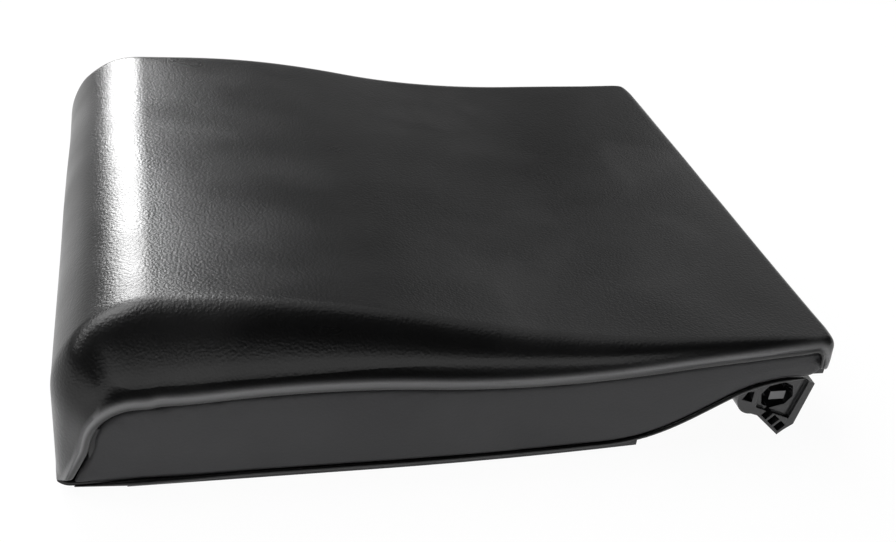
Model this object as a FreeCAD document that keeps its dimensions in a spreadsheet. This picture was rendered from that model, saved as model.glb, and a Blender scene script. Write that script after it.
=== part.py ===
import FreeCAD, Part
import os
import re
import Sketcher

Vector = FreeCAD.Vector

# Driving dimensions in millimetres and degrees. Setbacks run from the nose or from the rear end.
SIZES = {
    "length": 360.0,
    "width": 298.0,
    "crest_height": 85.5,
    "rear_height": 62.2,
    "crest_setback": 48.0,
    "flat_length": 83.0,
    "nose_radius": 43.0,
    "toe_radius": 7.5,
    "rear_radius": 6.5,
    "rear_low_radius": 4.0,
    "nose_hem": 30.0,
    "rear_hem": 6.0,
    "roll_toe": 4.6,
    "roll_nose": 13.0,
    "roll_shoulder": 30.0,
    "roll_crest": 39.4,
    "roll_middle": 25.7,
    "roll_flat": 10.6,
    "roll_rear": 3.7,
    "roll_end": 2.0,
    "leather": 2.4,
    "bead": 2.8,
    "groove": 0.6,
    "panel_recess": 1.5,
    "panel_leather": 2.0,
    "panel_corner": 20.0,
    "soft_gap": 0.3,
    "rise_setback": 138.0,
    "rise": 4.2,
    "underside": 38.5,
    "ramp_angle": 31.0,
    "ramp_radius": 66.5,
    "ramp_top_setback": 16.6,
    "hem_strip": 1.3,
    "cover_wall": 2.6,
    "cover_inset": 2.5,
    "cover_lap": 5.5,
    "core_setback": 15.0,
    "core_height": 32.0,
    "core_step_setback": 245.0,
    "core_end_setback": 38.0,
    "pan_height": 44.6,
    "pan_wall": 2.0,
    "pan_lap": 42.0,
    "flange_drop": 4.5,
    "pivot_setback": 20.7,
    "pivot_height": 24.4,
    "pin_radius": 4.5,
    "pin_head_radius": 7.5,
    "pin_head": 3.0,
    "pin_flat_width": 8.3,
    "pin_flat_height": 5.0,
    "running_clearance": 0.05,
    "bush_wall": 1.8,
    "bush_length": 9.0,
    "washer": 1.2,
    "washer_radius": 9.5,
    "clip": 0.8,
    "clip_radius": 6.6,
    "clip_gap": 0.3,
    "ear_wall": 3.0,
    "ear_radius": 11.0,
    "ear_spread": 15.0,
    "bracket_inset": 6.6,
    "bracket_width": 19.4,
    "face_recess": 2.0,
    "tip_across": 5.4,
    "tip_drop": 23.9,
    "tip_width": 2.9,
    "tip_step": 2.8,
    "rim_low_across": 12.9,
    "rim_low_drop": 17.6,
    "rim_high_across": 17.5,
    "rim_high_rise": 7.4,
    "rim_wall": 3.7,
    "hub_radius": 14.3,
    "hub_half_width": 9.2,
    "lobe_reach": 22.0,
    "lobe_rise": 6.5,
    "lobe_flat": 2.8,
    "lobe_corner": 4.2,
    "lobe_radius": 9.2,
    "lobe_drop": 9.2,
    "waist_across": 9.0,
    "waist_drop": 10.6,
    "window_length": 16.6,
    "window_height": 14.0,
    "window_end": 6.5,
    "window_top": 8.3,
    "window_tilt": 14.0,
    "rib_wall": 1.5,
    "rib_pocket_height": 5.0,
    "rib_pocket_depth": 6.0,
    "lobe_pocket_wall": 2.0,
    "mount_hole_radius": 2.65,
    "mount_hole_depth": 6.5,
    "mount_hole_spacing": 14.0,
    "stop_pad_length": 4.6,
    "stop_gap": 0.3,
    "bolt_radius": 3.0,
    "bolt_head_radius": 5.5,
    "bolt_head": 4.0,
    "bolt_length": 10.0,
    "bolt_spacing_x": 20.0,
    "bolt_spread": 95.0,
    "screw_radius": 2.0,
    "screw_head_radius": 4.0,
    "screw_head": 1.6,
    "screw_length": 14.0,
    "screw_clearance": 0.1,
    "screw_setback": 52.0,
    "screw_spread": 112.0,
    "screw_spacing_x": 75.0,
}

doc = FreeCAD.newDocument("Armrest")
sheet = doc.addObject("Spreadsheet::Sheet", "Sizes")
for row, (alias, size) in enumerate(SIZES.items(), 1):
    sheet.set(f"A{row}", alias)
    sheet.set(f"B{row}", str(size))
    sheet.setAlias(f"B{row}", alias)
doc.recompute()

# Places that several pieces share, as expressions of the sheet.
NOSE = "(-length / 2)"
REAR = "(length / 2)"
HALF = "(width / 2)"
CREST_X = f"({NOSE} + crest_setback)"
FLAT_X = f"({REAR} - flat_length)"
MIDDLE_X = f"(({CREST_X} + {FLAT_X}) / 2)"
MIDDLE_HEIGHT = "((crest_height + rear_height) / 2)"
SWELL = (f"((({FLAT_X} - {CREST_X}) ^ 2 + (crest_height - rear_height) ^ 2)"
         " / (4 * (crest_height - rear_height)))")
HEM_LOW = "(cover_wall - leather)"
PAST_LOW = "(-bead)"
PANEL_FACE = f"({HALF} - panel_recess)"
PANEL_BACK = f"({PANEL_FACE} - panel_leather)"
CORE_SIDE = f"({PANEL_BACK} - soft_gap)"
RISE_X = f"({NOSE} + rise_setback)"
LOW = "cover_wall"
LOW_REAR = "(cover_wall + rise)"
RAMP_TOP_X = f"({REAR} - ramp_top_setback)"
RAMP_BEND_X = f"({RAMP_TOP_X} - ramp_radius * sin(ramp_angle * 1deg))"
RAMP_BEND_Z = "(underside - ramp_radius * (1 - cos(ramp_angle * 1deg)))"
RAMP_FOOT_X = f"({RAMP_BEND_X} - ({RAMP_BEND_Z} - {LOW_REAR}) / tan(ramp_angle * 1deg))"
RISE_RADIUS = f"((({RAMP_FOOT_X} - {RISE_X}) ^ 2 + rise ^ 2) / (2 * rise))"
CORE_END_X = f"({REAR} - core_end_setback)"
PAN_REAR_X = f"({REAR} - leather - soft_gap)"
PAN_FRONT_X = f"({CORE_END_X} - pan_lap)"
PIVOT_X = f"({REAR} - pivot_setback)"
PIVOT_Z = "pivot_height"
BRACKET_FACE = f"({HALF} - bracket_inset)"
BRACKET_BACK = f"({BRACKET_FACE} - bracket_width)"
EAR_FACE = f"({BRACKET_BACK} - washer)"
EAR_BACK = f"({EAR_FACE} - ear_wall)"
BUSH_END = f"({BRACKET_BACK} + bush_length)"
CLIP_START = f"({BUSH_END} + clip_gap)"
CLIP_END = f"({CLIP_START} + clip)"
BUSH_RADIUS = "(pin_radius + running_clearance + bush_wall)"
UNDER_HEM = "(underside - bead / 2)"
HUB_RISE = "sqrt(hub_radius ^ 2 - hub_half_width ^ 2)"
RIB_POCKETS = 3
SIDES = {"left": -1, "right": 1}


def bound(text):
    """Points every size named in an expression at its cell."""
    return re.sub(r"[a-z_]+", lambda word: f"Sizes.{word[0]}" if word[0] in SIZES else word[0], text)


def number(text):
    """Works an expression out as a plain number."""
    return float(sheet.evalExpression(bound(text)))


def signed(side, text):
    """Gives a distance from the middle plane as a Y place on one side."""
    return f"({side} * {text})"


def new_body(label):
    body = doc.addObject("PartDesign::Body", label)
    body.Label = label
    return body


def side_sketch(body, name, y_place):
    """Opens a sketch in the XZ plane at a Y place."""
    sketch = body.newObject("Sketcher::SketchObject", name)
    plane = [item for item in body.Origin.OriginFeatures if item.Role == "XZ_Plane"][0]
    sketch.AttachmentSupport = [(plane, "")]
    sketch.MapMode = "FlatFace"
    sketch.setExpression("AttachmentOffset.Base.z", bound(f"-({y_place})"))
    return sketch


def bend(start, end, radius, turn):
    """Returns the short arc between two points, turning left (1) or right (-1) on the way."""
    chord = end - start
    across = Vector(-chord.y, chord.x, 0).normalize() * turn
    rise = max(radius ** 2 - (chord.Length / 2) ** 2, 0.0) ** 0.5
    centre = (start + end) / 2 + across * rise
    summit = centre - across * radius
    return Part.Arc(start, summit, end) if turn > 0 else Part.Arc(end, summit, start)


def fix_point(sketch, edge, corner, x_place, z_place):
    """Ties a point of a sketch to expressions for its two coordinates."""
    for kind, place in (("DistanceX", x_place), ("DistanceY", z_place)):
        index = sketch.addConstraint(Sketcher.Constraint(kind, -1, 1, edge, corner, number(place)))
        sketch.setExpression(f"Constraints[{index}]", bound(place))


def draw_outline(sketch, points):
    """Draws a closed outline. A point is (x, z), or (x, z, radius, turn) where an arc follows it."""
    places = [Vector(number(point[0]), number(point[1]), 0) for point in points]
    begins = []
    ends = []
    for index, point in enumerate(points):
        start = places[index]
        end = places[(index + 1) % len(points)]
        if len(point) == 2:
            edge = sketch.addGeometry(Part.LineSegment(start, end), False)
            corners = (1, 2)
        else:
            edge = sketch.addGeometry(bend(start, end, number(point[2]), point[3]), False)
            corners = (1, 2) if point[3] > 0 else (2, 1)
            index = sketch.addConstraint(Sketcher.Constraint("Radius", edge, number(point[2])))
            sketch.setExpression(f"Constraints[{index}]", bound(point[2]))
        begins.append((edge, corners[0]))
        ends.append((edge, corners[1]))
    for index, point in enumerate(points):
        sketch.addConstraint(Sketcher.Constraint("Coincident", *ends[index - 1], *begins[index]))
        fix_point(sketch, *begins[index], point[0], point[1])


def draw_circle(sketch, x_place, z_place, radius):
    centre = Vector(number(x_place), number(z_place), 0)
    edge = sketch.addGeometry(Part.Circle(centre, Vector(0, 0, 1), number(radius)), False)
    fix_point(sketch, edge, 3, x_place, z_place)
    index = sketch.addConstraint(Sketcher.Constraint("Radius", edge, number(radius)))
    sketch.setExpression(f"Constraints[{index}]", bound(radius))


def feature(body, kind, name, sketch, depth, toward):
    """Pads or pockets a sketch by a depth towards +Y (1) or -Y (-1)."""
    item = body.newObject(f"PartDesign::{kind}", name)
    item.Profile = sketch
    item.setExpression("Length", bound(depth))
    item.Reversed = toward > 0 if kind == "Pad" else toward < 0
    body.Tip = item
    return item


def slab(body, name, points, y_place, depth, toward, kind="Pad"):
    """Adds (or pockets) an XZ outline as a slab of a Y depth."""
    sketch = side_sketch(body, f"{name}_sketch", y_place)
    draw_outline(sketch, points)
    return feature(body, kind, name, sketch, depth, toward)


def full_slab(label, points, half):
    """Makes a body from an XZ outline that is symmetric about the middle plane."""
    body = new_body(label)
    slab(body, f"{label}_pad", points, half, f"2 * {half}", -1)
    return body


def side_slab(label, points, inner, outer, side):
    """Makes a body from an XZ outline between two distances from the middle plane."""
    body = new_body(label)
    slab(body, f"{label}_pad", points, signed(side, inner), f"{outer} - {inner}", side)
    return body


def cut(label, base, *tools):
    """Cuts tools from a base, one after the other, and labels the result."""
    for index, tool in enumerate(tools):
        result = doc.addObject("Part::Cut", f"{label}_cut_{index}")
        result.Base = base
        result.Tool = tool
        base = result
    base.Label = label
    return base


def fuse(label, shapes):
    result = doc.addObject("Part::MultiFuse", label)
    result.Shapes = shapes
    result.Label = label
    return result


def rod(name, x_place, z_place, radius, start, length, side):
    """Makes a cylinder along Y that starts at a distance from the middle plane and runs outwards."""
    item = doc.addObject("Part::Cylinder", name)
    item.setExpression("Radius", bound(radius))
    item.setExpression("Height", bound(length))
    item.setExpression("Placement.Base.x", bound(x_place))
    item.setExpression("Placement.Base.y", bound(signed(side, start)))
    item.setExpression("Placement.Base.z", bound(z_place))
    item.Placement.Rotation = FreeCAD.Rotation(Vector(1, 0, 0), -90 * side)
    return item


def post(name, x_place, y_place, z_place, radius, height):
    """Makes an upright cylinder."""
    item = doc.addObject("Part::Cylinder", name)
    item.setExpression("Radius", bound(radius))
    item.setExpression("Height", bound(height))
    item.setExpression("Placement.Base.x", bound(x_place))
    item.setExpression("Placement.Base.y", bound(y_place))
    item.setExpression("Placement.Base.z", bound(z_place))
    return item


def form_points(inset):
    """Gives the long section of the armrest, drawn in by an inset, from the toe round by the top."""
    nose = f"({NOSE} + {inset})"
    rear = f"({REAR} - {inset})"
    low = f"({HEM_LOW} + {inset})"
    under = f"({UNDER_HEM} + {inset})"
    bow = f"(nose_radius - {inset})"
    crest = f"(crest_height - {inset})"
    flat = f"(rear_height - {inset})"
    heel = f"(rear_radius - {inset})"
    bow_x = f"({nose} + {bow})"
    bow_z = f"({crest} - {bow})"
    step = f"({RAMP_FOOT_X} - {inset})"
    return [
        (nose, low),
        (nose, bow_z, bow, -1),
        (f"{bow_x} - {bow} * cos(45deg)", f"{bow_z} + {bow} * sin(45deg)", bow, -1),
        (bow_x, crest),
        (CREST_X, crest, SWELL, -1),
        (MIDDLE_X, f"{MIDDLE_HEIGHT} - {inset}", SWELL, 1),
        (FLAT_X, flat),
        (f"{rear} - {heel}", flat, heel, -1),
        (rear, f"{flat} - {heel}"),
        (rear, under),
        (step, under),
        (step, low),
    ]


# Corner roll at each point of the long section, from the toe to the lower rear corner.
ROLLS = ["roll_toe", "roll_nose", "roll_shoulder", "roll_crest", "roll_crest", "roll_middle",
         "roll_flat", "roll_rear", "roll_end", "roll_end"]


def nearest(places, spot):
    """Gives the number of the place that lies closest to a spot."""
    return min(range(len(places)), key=lambda index: places[index].distanceToPoint(spot))


def crowned_form(label, inset, half):
    """Makes the long section as a block whose side edges are rolled, wide at the crest, tight at the rear."""
    points = form_points(inset)
    block = full_slab(f"{label}_block", points, half)
    doc.recompute()
    places = [Vector(number(point[0]), 0, number(point[1])) for point in points]
    rolled = []
    for index, edge in enumerate(block.Shape.Edges, 1):
        first = edge.valueAt(edge.FirstParameter)
        last = edge.valueAt(edge.LastParameter)
        if abs(first.y - last.y) > 1e-6:
            continue
        spots = [nearest(places, Vector(end.x, 0, end.z)) for end in (first, last)]
        if max(spots) < len(ROLLS) and abs(spots[0] - spots[1]) == 1:
            rolled.append((index, *(number(f"{ROLLS[spot]} - {inset} / 2") for spot in spots)))
    form = doc.addObject("Part::Fillet", f"{label}_rolled")
    form.Base = block
    form.Edges = rolled
    return cut(label, form, *corner_trims(label, inset))


def corner_trims(label, inset):
    """Makes the prisms that round the toe and the lower rear corner of the long section."""
    toe = f"(toe_radius - {inset})"
    heel = f"(rear_low_radius - {inset})"
    past = "bead"
    nose = f"({NOSE} + {inset})"
    low = f"({HEM_LOW} + {inset})"
    rear = f"({REAR} - {inset})"
    under = f"({UNDER_HEM} + {inset})"
    reach = f"({HALF} + bead)"
    toe_trim = full_slab(f"{label}_toe_trim", [
        (f"{nose} - {past}", f"{low} - {past}"), (f"{nose} + {toe}", f"{low} - {past}"),
        (f"{nose} + {toe}", low, toe, -1), (nose, f"{low} + {toe}"), (f"{nose} - {past}", f"{low} + {toe}")], reach)
    heel_trim = full_slab(f"{label}_heel_trim", [
        (f"{rear} + {past}", f"{under} - {past}"), (f"{rear} + {past}", f"{under} + {heel}"),
        (rear, f"{under} + {heel}", heel, -1), (f"{rear} - {heel}", under),
        (f"{rear} - {heel}", f"{under} - {past}")], reach)
    return toe_trim, heel_trim


def low_edge(drop):
    """Gives the lower edge of the side, from the nose to the rear, lowered by a drop."""
    return [
        (RISE_X, f"{LOW} - {drop}", RISE_RADIUS, 1),
        (RAMP_FOOT_X, f"{LOW_REAR} - {drop}"),
        (RAMP_BEND_X, f"{RAMP_BEND_Z} - {drop}", "ramp_radius", -1),
        (RAMP_TOP_X, f"underside - {drop}"),
    ]


def panel_points(gap):
    """Gives the outline of a side panel, drawn in by a gap from the bead."""
    front = f"({NOSE} + roll_toe + bead + {gap})"
    rear = f"({REAR} - roll_end - bead - {gap})"
    shoulder_x = f"({NOSE} + roll_nose + bead + {gap})"
    crest = f"(crest_height - roll_crest - bead - {gap})"
    middle = f"({MIDDLE_HEIGHT} - roll_middle - bead - {gap})"
    flat = f"(rear_height - roll_flat - bead - {gap})"
    end = f"(rear_height - roll_rear - bead - {gap})"
    end_radius = "(rear_radius / 2)"
    low_radius = "rear_radius"
    return low_edge("0") + [
        (f"{rear} - {low_radius}", "underside", low_radius, 1),
        (rear, f"underside + {low_radius}"),
        (rear, f"{end} - {end_radius}", end_radius, 1),
        (f"{rear} - {end_radius}", end),
        (FLAT_X, flat, SWELL, -1),
        (MIDDLE_X, middle, SWELL, 1),
        (CREST_X, crest),
        (f"{shoulder_x} + panel_corner", crest, "panel_corner", 1),
        (shoulder_x, f"{crest} - panel_corner"),
        (front, LOW),
    ]


def opening_points():
    """Gives the opening that the bead runs round, carried down past the bottom."""
    upper = panel_points("0")[4:]
    return [(RAMP_FOOT_X, PAST_LOW), (upper[0][0], PAST_LOW)] + upper + [(upper[-1][0], PAST_LOW)]


def make_top_cover():
    outer = crowned_form("outer_form", "0", HALF)
    inner = crowned_form("inner_form", "leather", f"({HALF} - leather)")
    openings = [side_slab(f"side_opening_{name}", opening_points(), PANEL_BACK, f"({HALF} + bead)", side)
                for name, side in SIDES.items()]
    hem_top = f"({HEM_LOW} + 2 * leather)"
    under_top = "(underside + 2 * leather)"
    inside = f"({RAMP_FOOT_X} - 2 * leather)"
    nose_hem_x = f"({NOSE} + nose_hem)"
    rear_hem_x = f"({REAR} - rear_hem)"
    floor = full_slab("floor_opening", [
        (nose_hem_x, PAST_LOW), (rear_hem_x, PAST_LOW), (rear_hem_x, under_top), (inside, under_top),
        (inside, hem_top), (nose_hem_x, hem_top)], f"({HALF} + bead)")
    return cut("top_cover", outer, inner, *openings, floor)


def make_side_panel(name, side):
    return side_slab(f"side_panel_{name}", panel_points("groove"), PANEL_BACK, PANEL_FACE, side)


def core_points():
    front = f"({NOSE} + core_setback)"
    step = f"({NOSE} + core_step_setback)"
    low_end = low_edge("0")
    end_drop = f"sqrt(ramp_radius ^ 2 - ({RAMP_TOP_X} - {CORE_END_X}) ^ 2)"
    end_z = f"(underside - ramp_radius + {end_drop})"
    return [(front, "cover_wall"), (RISE_X, "cover_wall", RISE_RADIUS, 1)] + [
        (RAMP_FOOT_X, "cover_wall + rise"), low_end[2], (CORE_END_X, end_z), (CORE_END_X, "pan_height"),
        (PAN_FRONT_X, "pan_height"), (step, "core_height"), (front, "core_height")]


def bolt_places():
    for row in (0, 1):
        for side in SIDES.values():
            x_place = f"({PAN_FRONT_X} + bolt_head_radius * 2 + {row} * bolt_spacing_x)"
            yield x_place, signed(side, "bolt_spread")


def screw_places():
    for column in (0, 1):
        for row in (-1, 0, 1):
            x_place = f"({NOSE} + screw_setback + {column} * screw_spacing_x)"
            yield x_place, signed(row, "screw_spread")


def make_core_block():
    block = full_slab("core_form", core_points(), CORE_SIDE)
    bolts = fuse("bolt_bores", [
        post(f"bolt_bore_{index}", x, y, "pan_height - bolt_length", "bolt_radius", "bolt_length")
        for index, (x, y) in enumerate(bolt_places())])
    screws = fuse("screw_bores", [
        post(f"screw_bore_{index}", x, y, "0", "screw_radius", "screw_length")
        for index, (x, y) in enumerate(screw_places())])
    return cut("core_block", block, bolts, screws)


def make_foam_pad():
    inset = "(leather + soft_gap)"
    form = crowned_form("foam_form", inset, CORE_SIDE)
    front = f"({NOSE} + core_setback)"
    step = f"({NOSE} + core_step_setback)"
    deck = "(pan_height + pan_wall)"
    bed = full_slab("foam_bed", [
        (front, PAST_LOW), (f"{REAR} + bead", PAST_LOW), (f"{REAR} + bead", deck), (PAN_FRONT_X, deck),
        (PAN_FRONT_X, "pan_height"), (step, "core_height"), (front, "core_height")], f"({HALF} + bead)")
    heads = fuse("head_pockets", [
        post(f"head_pocket_{index}", x, y, "pan_height", "bolt_head_radius + soft_gap",
             "pan_wall + bolt_head + soft_gap")
        for index, (x, y) in enumerate(bolt_places())])
    return cut("foam_pad", form, bed, heads)


def make_bottom_cover():
    front = f"({NOSE} + nose_hem + soft_gap)"
    lap = f"({RAMP_FOOT_X} - cover_lap)"
    lap_rise = f"({RISE_RADIUS} - sqrt({RISE_RADIUS} ^ 2 - ({lap} - {RISE_X}) ^ 2))"
    plate = full_slab("cover_plate", [
        (front, "0"), (RISE_X, "0", RISE_RADIUS, 1), (lap, lap_rise), (lap, f"{lap_rise} + cover_wall", RISE_RADIUS, -1),
        (RISE_X, "cover_wall"), (front, "cover_wall")], f"({HALF} - cover_inset)")
    bores = [post(f"cover_bore_{index}", x, y, "0", "screw_radius + screw_clearance", "cover_wall")
             for index, (x, y) in enumerate(screw_places())]
    seats = [post(f"cover_seat_{index}", x, y, "0", "screw_head_radius + screw_clearance", "screw_head")
             for index, (x, y) in enumerate(screw_places())]
    return cut("bottom_cover", plate, fuse("cover_bores", bores + seats))


def make_hem_strip(name, side):
    upper = low_edge("0")[1:]
    lower = low_edge("hem_strip")[1:]
    end = f"({REAR} - roll_end - bead - groove - rear_radius)"
    points = [lower[0], lower[1], lower[2], (end, "underside - hem_strip"), (end, "underside"),
              (upper[2][0], upper[2][1], "ramp_radius", 1), (upper[1][0], upper[1][1]), (upper[0][0], upper[0][1])]
    return side_slab(f"hem_strip_{name}", points, f"({BRACKET_FACE} + soft_gap)", PANEL_FACE, side)


def make_hinge_pan():
    """Makes the pressed pan: a deck with a flange along both sides and the rear."""
    body = new_body("hinge_pan")
    top = "(pan_height + pan_wall)"
    low = "(pan_height - flange_drop)"
    side = f"({CORE_SIDE} - soft_gap)"
    deck = [(PAN_FRONT_X, "pan_height"), (PAN_REAR_X, "pan_height"), (PAN_REAR_X, top), (PAN_FRONT_X, top)]
    slab(body, "deck", deck, side, f"2 * {side}", -1)
    lip_x = f"({PAN_REAR_X} - pan_wall)"
    lip = [(lip_x, low), (PAN_REAR_X, low), (PAN_REAR_X, "pan_height"), (lip_x, "pan_height")]
    slab(body, "rear_flange", lip, side, f"2 * {side}", -1)
    front = f"({CORE_END_X} + soft_gap)"
    wing = [(front, low), (PAN_REAR_X, low), (PAN_REAR_X, "pan_height"), (front, "pan_height")]
    for name, sign in SIDES.items():
        slab(body, f"side_flange_{name}", wing, signed(sign, side), "pan_wall", -sign)
    bores = fuse("pan_bores", [
        post(f"pan_bore_{index}", x, y, "pan_height", "bolt_radius", "pan_wall")
        for index, (x, y) in enumerate(bolt_places())])
    body.Label = "hinge_pan_form"
    return cut("hinge_pan", body, bores)


def make_hinge_ear(name, side):
    left = f"({PIVOT_X} - ear_radius)"
    right = f"({PIVOT_X} + ear_radius)"
    points = [(left, PIVOT_Z, "ear_radius", 1), (PIVOT_X, f"{PIVOT_Z} - ear_radius", "ear_radius", 1),
              (right, PIVOT_Z), (f"{PIVOT_X} + ear_spread", "pan_height"), (f"{PIVOT_X} - ear_spread", "pan_height")]
    body = side_slab(f"ear_form_{name}", points, EAR_BACK, EAR_FACE, side)
    bore = rod(f"ear_bore_{name}", PIVOT_X, PIVOT_Z, "pin_radius", EAR_BACK, "ear_wall", side)
    return cut(f"hinge_ear_{name}", body, bore)


def make_pivot_pin(name, side):
    """Makes the headed pin, whose outer end is milled flat to show in the bracket's window."""
    head = rod(f"pin_head_{name}", PIVOT_X, PIVOT_Z, "pin_head_radius", f"({EAR_BACK} - pin_head)", "pin_head", side)
    shank = rod(f"pin_shank_{name}", PIVOT_X, PIVOT_Z, "pin_radius", EAR_BACK, f"{CLIP_END} - {EAR_BACK}", side)
    low = f"({PIVOT_Z} - pin_flat_height / 2)"
    high = f"({PIVOT_Z} + pin_flat_height / 2)"
    near = f"({PIVOT_X} - pin_flat_width / 2)"
    far = f"({PIVOT_X} + pin_flat_width / 2)"
    tang = side_slab(f"pin_tang_{name}", [(near, low), (far, low), (far, high), (near, high)],
                     CLIP_END, f"({BRACKET_FACE} - face_recess)", side)
    return fuse(f"pivot_pin_{name}", [head, shank, tang])


def ring(label, outer, inner, start, length, side):
    """Makes a flat ring or sleeve about the hinge axis."""
    solid = rod(f"{label}_outer", PIVOT_X, PIVOT_Z, outer, start, length, side)
    hole = rod(f"{label}_hole", PIVOT_X, PIVOT_Z, inner, start, length, side)
    return cut(label, solid, hole)


def pivot_point(across, up):
    """Gives a place on the bracket from its offsets from the hinge axis."""
    return f"({PIVOT_X} + {across})", f"({PIVOT_Z} + {up})"


def bracket_points():
    """Gives the bracket's outline: tip, rear rim, hub, stop lobe and slanted lower edge."""
    return [
        pivot_point("tip_across", "-tip_drop"),
        pivot_point("tip_across + tip_width", "-tip_drop + tip_step"),
        pivot_point("rim_low_across", "-rim_low_drop"),
        pivot_point("rim_high_across", "rim_high_rise"),
        pivot_point("hub_half_width", HUB_RISE) + ("hub_radius", 1),
        pivot_point("-hub_half_width", HUB_RISE),
        pivot_point("-lobe_reach + lobe_corner + lobe_flat", "lobe_rise"),
        pivot_point("-lobe_reach + lobe_corner", "lobe_rise") + ("lobe_corner", 1),
        pivot_point("-lobe_reach", "lobe_rise - lobe_corner"),
        pivot_point("-lobe_reach", "-lobe_drop + lobe_radius") + ("lobe_radius", 1),
        pivot_point("-lobe_reach + lobe_radius", "-lobe_drop"),
        pivot_point("-waist_across", "-waist_drop"),
    ]


def face_points():
    """Gives the sunken face, which leaves the rear rim, the lobe and the ribbed edge standing."""
    return [
        pivot_point("rim_low_across - rim_wall", "-rim_low_drop + rim_wall"),
        pivot_point("rim_high_across - rim_wall", "rim_high_rise"),
        pivot_point("rim_high_across - rim_wall", "hub_radius + rim_wall"),
        pivot_point("-hub_half_width", "hub_radius + rim_wall"),
        pivot_point("-waist_across - rim_wall", "lobe_rise"),
        pivot_point("-waist_across - rim_wall / 2", "-lobe_drop + rim_wall"),
    ]


def window_points():
    """Gives the eight-cornered window round the end of the pin, tilted with the rim."""
    half_length = "window_length / 2"
    half_height = "window_height / 2"
    half_end = "window_end / 2"
    half_top = "window_top / 2"
    corners = [(half_length, half_end), (half_top, half_height), (f"-{half_top}", half_height),
               (f"-{half_length}", half_end), (f"-{half_length}", f"-{half_end}"),
               (f"-{half_top}", f"-{half_height}"), (half_top, f"-{half_height}"), (half_length, f"-{half_end}")]
    turn_cos = "cos(window_tilt * 1deg)"
    turn_sin = "sin(window_tilt * 1deg)"
    return [pivot_point(f"({a}) * {turn_cos} - ({b}) * {turn_sin}", f"({a}) * {turn_sin} + ({b}) * {turn_cos}")
            for a, b in corners]


def rib_pocket_points(index):
    """Gives one of the pockets between the ribs along the slanted lower edge."""
    run = "(tip_across + waist_across)"
    fall = "(tip_drop - waist_drop)"
    edge = f"sqrt({run} ^ 2 + {fall} ^ 2)"
    pocket = f"(({edge} - {RIB_POCKETS + 1} * rib_wall) / {RIB_POCKETS})"
    start = f"(rib_wall + {index} * ({pocket} + rib_wall))"
    corners = [(start, "rib_wall"), (f"({start} + {pocket})", "rib_wall"),
               (f"({start} + {pocket})", "(rib_wall + rib_pocket_height)"), (start, "(rib_wall + rib_pocket_height)")]
    return [pivot_point(f"-waist_across + ({along} * {run} + {inward} * {fall}) / {edge}",
                        f"-waist_drop + ({inward} * {run} - {along} * {fall}) / {edge}")
            for along, inward in corners]


def lobe_pocket_points():
    """Gives the core-out in the upper part of the stop lobe."""
    left = "-lobe_reach + lobe_pocket_wall"
    right = "-waist_across - rim_wall - rib_wall"
    return [pivot_point(left, "0"), pivot_point(right, "-lobe_pocket_wall"),
            pivot_point(right, "lobe_rise - lobe_pocket_wall"),
            pivot_point("-lobe_reach + lobe_corner", "lobe_rise - lobe_pocket_wall")]


def mount_hole(name, side, row):
    """Makes one of the two bores that enter the rear rim square to its slanted face."""
    lean = "atan((rim_high_across - rim_low_across) / (rim_high_rise + rim_low_drop))"
    offset = f"{row} * mount_hole_spacing / 2"
    across = f"(rim_low_across + rim_high_across) / 2 + {offset} * sin({lean}) - mount_hole_depth * cos({lean})"
    up = f"(rim_high_rise - rim_low_drop) / 2 + {offset} * cos({lean}) + mount_hole_depth * sin({lean})"
    x_place, z_place = pivot_point(across, up)
    y_place = signed(side, f"({BRACKET_BACK} + bracket_width / 2)")
    hole = post(f"mount_hole_{name}_{row + 1}", x_place, y_place, z_place, "mount_hole_radius", "2 * mount_hole_depth")
    hole.Placement.Rotation = FreeCAD.Rotation(Vector(0, 1, 0), 90)
    hole.setExpression("Placement.Rotation.Angle", bound(f"90deg + {lean}"))
    return hole


def make_hinge_bracket(name, side):
    """Makes the moulded bracket: stop lobe, raised rear rim, windowed face and ribbed lower edge."""
    body = new_body(f"bracket_form_{name}")
    back = signed(side, BRACKET_BACK)
    face = signed(side, BRACKET_FACE)
    window_depth = f"{BRACKET_FACE} - {BUSH_END}"
    slab(body, f"plate_{name}", bracket_points(), back, "bracket_width", side)
    slab(body, f"face_{name}", face_points(), face, "face_recess", -side, "Pocket")
    slab(body, f"window_{name}", window_points(), face, window_depth, -side, "Pocket")
    for index in range(RIB_POCKETS):
        slab(body, f"rib_pocket_{name}_{index}", rib_pocket_points(index), face, "rib_pocket_depth", -side, "Pocket")
    slab(body, f"lobe_pocket_{name}", lobe_pocket_points(), face, "rib_pocket_depth", -side, "Pocket")
    bore = side_sketch(body, f"bush_bore_{name}_sketch", back)
    draw_circle(bore, PIVOT_X, PIVOT_Z, BUSH_RADIUS)
    feature(body, "Pocket", f"bush_bore_{name}", bore, "bush_length", side)
    return cut(f"hinge_bracket_{name}", body, *(mount_hole(name, side, row) for row in (-1, 1)))


def make_stop_pad(name, side):
    pad_rear = CORE_END_X
    pad_front = f"({CORE_END_X} - stop_pad_length)"
    low = f"({PIVOT_Z} + lobe_rise + stop_gap)"
    roof = [f"(underside - ramp_radius + sqrt(ramp_radius ^ 2 - ({RAMP_TOP_X} - {x}) ^ 2))"
            for x in (pad_front, pad_rear)]
    points = [(pad_front, low), (pad_rear, low), (pad_rear, roof[1], "ramp_radius", 1), (pad_front, roof[0])]
    return side_slab(f"stop_pad_{name}", points, BRACKET_BACK, BRACKET_FACE, side)


def make_pan_bolts():
    bolts = []
    for index, (x, y) in enumerate(bolt_places()):
        shank = post(f"bolt_shank_{index}", x, y, "pan_height - bolt_length", "bolt_radius", "bolt_length + pan_wall")
        head = post(f"bolt_head_{index}", x, y, "pan_height + pan_wall", "bolt_head_radius", "bolt_head")
        bolts.append(fuse(f"bolt_{index}", [shank, head]))
    return group("pan_bolts", bolts)


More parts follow.
